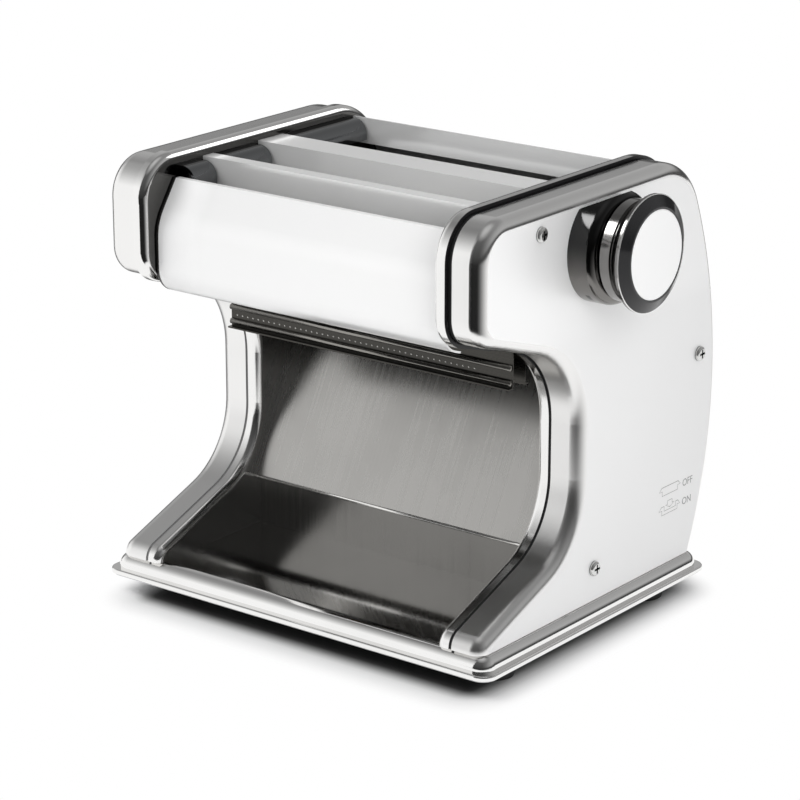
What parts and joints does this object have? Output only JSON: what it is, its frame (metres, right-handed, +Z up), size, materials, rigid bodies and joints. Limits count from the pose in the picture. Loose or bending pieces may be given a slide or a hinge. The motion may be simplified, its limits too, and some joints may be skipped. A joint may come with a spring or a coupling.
{
  "type": "electric pasta maker",
  "caption": "Electric pasta maker on a steel tray: sheet rollers with a thickness dial, two pairs of noodle cutters, a motor and gears inside.",
  "frame": {"origin": "bottom centre of the bounding box, on the bench under the four feet", "axes": "+X along the rollers towards the thickness dial, -Y the front where the noodles come out, +Z up"},
  "size_m": [0.2762, 0.2148, 0.238],
  "materials": {
    "polished_steel": "mirror-polished stainless steel",
    "brushed_steel": "satin stainless steel",
    "plain_steel": "zinc-plated steel",
    "bronze": "sintered bronze",
    "black_plastic": "gloss black",
    "black_rubber": "matt",
    "black_metal": "black chrome",
    "white_plastic": "satin",
    "gear_plastic": "moulded"
  },
  "bodies": {
    "machine": {"back_cover": "polished_steel", "bottom_plate": "plain_steel", "casing_screws": "plain_steel", "cord_bush": "black_rubber", "dial_collar": "black_metal", "foot_front_left": "black_rubber", "foot_front_right": "black_rubber", "foot_rear_left": "black_rubber", "foot_rear_right": "black_rubber", "foot_screws": "plain_steel", "front_cover": "polished_steel", "front_divider": "polished_steel", "front_scraper": "brushed_steel", "left_frame_plate": "plain_steel", "left_inner_casing": "polished_steel", "left_outer_casing": "polished_steel", "left_seam": "black_rubber", "lower_panel": "polished_steel", "motor": "plain_steel", "noodle_slide": "polished_steel", "rear_divider": "polished_steel", "rear_top_cover": "polished_steel", "right_frame_plate": "plain_steel", "right_inner_casing": "polished_steel", "right_outer_casing": "polished_steel", "right_seam": "black_rubber", "roller_bushes": "bronze", "slot_cheeks": "brushed_steel", "spaghetti_combs": "brushed_steel", "switch_housing": "black_plastic", "tagliatelle_combs": "brushed_steel", "tie_rod_nuts": "plain_steel", "tie_rods": "plain_steel", "tray": "polished_steel"},
    "main_wheel": {"main_wheel": "gear_plastic"},
    "idler_wheel": {"idler_wheel": "gear_plastic"},
    "second_wheel": {"second_wheel": "gear_plastic"},
    "first_wheel": {"first_wheel": "plain_steel"},
    "motor_shaft": {"motor_pinion": "plain_steel"},
    "front_sheet_roller": {"sheet_front_roller": "brushed_steel", "sheet_front_gear": "plain_steel"},
    "gap_carriage": {"left_slide": "plain_steel", "right_slide": "plain_steel", "crossbar": "brushed_steel"},
    "rear_sheet_roller": {"sheet_rear_roller": "brushed_steel", "sheet_rear_gear": "plain_steel"},
    "tagliatelle_front": {"tagliatelle_front_cutter": "brushed_steel", "tagliatelle_front_gear": "plain_steel"},
    "tagliatelle_rear": {"tagliatelle_rear_cutter": "brushed_steel", "tagliatelle_rear_gear": "plain_steel"},
    "spaghetti_front": {"spaghetti_front_cutter": "brushed_steel", "spaghetti_front_gear": "plain_steel"},
    "spaghetti_rear": {"spaghetti_rear_cutter": "brushed_steel", "spaghetti_rear_gear": "plain_steel"},
    "thickness_spindle": {"dial_spindle": "plain_steel", "dial_spring": "plain_steel"},
    "thickness_dial": {"dial_body": "black_metal", "dial_ring": "black_plastic", "dial_insert": "white_plastic"},
    "power_switch": {"switch_rocker": "black_plastic"}
  },
  "joints": [
    {"name": "main_wheel_spin", "type": "hinge", "parent": "machine", "child": "main_wheel", "pos_m": [-0.01305, -0.01597, 0.18529], "axis": [1, 0, 0], "continuous": true},
    {"name": "idler_wheel_spin", "type": "hinge", "parent": "machine", "child": "idler_wheel", "pos_m": [-0.01305, -0.0654, 0.1866], "axis": [1, 0, 0], "continuous": true},
    {"name": "second_wheel_spin", "type": "hinge", "parent": "machine", "child": "second_wheel", "pos_m": [-0.01305, 0.00678, 0.15362], "axis": [1, 0, 0], "continuous": true},
    {"name": "first_wheel_spin", "type": "hinge", "parent": "machine", "child": "first_wheel", "pos_m": [-0.01305, 0.03081, 0.12549], "axis": [1, 0, 0], "continuous": true},
    {"name": "motor_shaft_spin", "type": "hinge", "parent": "machine", "child": "motor_shaft", "pos_m": [-0.01305, 0.05283, 0.097], "axis": [1, 0, 0], "continuous": true},
    {"name": "front_sheet_roller_spin", "type": "hinge", "parent": "machine", "child": "front_sheet_roller", "pos_m": [-0.01305, 0.01765, 0.203], "axis": [1, 0, 0], "continuous": true},
    {"name": "gap_carriage_slide", "type": "slide", "parent": "machine", "child": "gap_carriage", "axis": [0, 1, 0], "range_m": [0, 0.0025]},
    {"name": "rear_sheet_roller_spin", "type": "hinge", "parent": "gap_carriage", "child": "rear_sheet_roller", "pos_m": [-0.01305, 0.04795, 0.203], "axis": [1, 0, 0], "continuous": true},
    {"name": "tagliatelle_front_spin", "type": "hinge", "parent": "machine", "child": "tagliatelle_front", "pos_m": [-0.01305, -0.04315, 0.198], "axis": [1, 0, 0], "continuous": true},
    {"name": "tagliatelle_rear_spin", "type": "hinge", "parent": "machine", "child": "tagliatelle_rear", "pos_m": [-0.01305, -0.02715, 0.198], "axis": [1, 0, 0], "continuous": true},
    {"name": "spaghetti_front_spin", "type": "hinge", "parent": "machine", "child": "spaghetti_front", "pos_m": [-0.01305, -0.08765, 0.198], "axis": [1, 0, 0], "continuous": true},
    {"name": "spaghetti_rear_spin", "type": "hinge", "parent": "machine", "child": "spaghetti_rear", "pos_m": [-0.01305, -0.07165, 0.198], "axis": [1, 0, 0], "continuous": true},
    {"name": "thickness_turn", "type": "hinge", "parent": "machine", "child": "thickness_spindle", "pos_m": [-0.01305, -0.00615, 0.2075], "axis": [1, 0, 0], "range_deg": [0, 300]},
    {"name": "thickness_pull", "type": "slide", "parent": "thickness_spindle", "child": "thickness_dial", "axis": [1, 0, 0], "range_m": [0, 0.004], "stiffness_N_per_m": 400, "springref_m": -0.004, "deforming": ["dial_spring"]},
    {"name": "power_switch_rock", "type": "hinge", "parent": "machine", "child": "power_switch", "pos_m": [0.04895, 0.10315, 0.1152], "axis": [1, 0, 0], "range_deg": [0, 18]}
  ],
  "couplings": [
    {"joint": "idler_wheel_spin", "follows": "main_wheel_spin", "ratio": 1.2941},
    {"joint": "second_wheel_spin", "follows": "main_wheel_spin", "ratio": -4.5714},
    {"joint": "first_wheel_spin", "follows": "main_wheel_spin", "ratio": 19.592},
    {"joint": "motor_shaft_spin", "follows": "main_wheel_spin", "ratio": -97.959},
    {"joint": "front_sheet_roller_spin", "follows": "main_wheel_spin", "ratio": -1.375},
    {"joint": "rear_sheet_roller_spin", "follows": "main_wheel_spin", "ratio": 1.375},
    {"joint": "tagliatelle_front_spin", "follows": "main_wheel_spin", "ratio": -2.75},
    {"joint": "tagliatelle_rear_spin", "follows": "main_wheel_spin", "ratio": 2.75},
    {"joint": "spaghetti_front_spin", "follows": "main_wheel_spin", "ratio": -2.75},
    {"joint": "spaghetti_rear_spin", "follows": "main_wheel_spin", "ratio": 2.75},
    {"joint": "thickness_turn", "follows": "gap_carriage_slide", "rad_per_m": 2094.4}
  ]
}
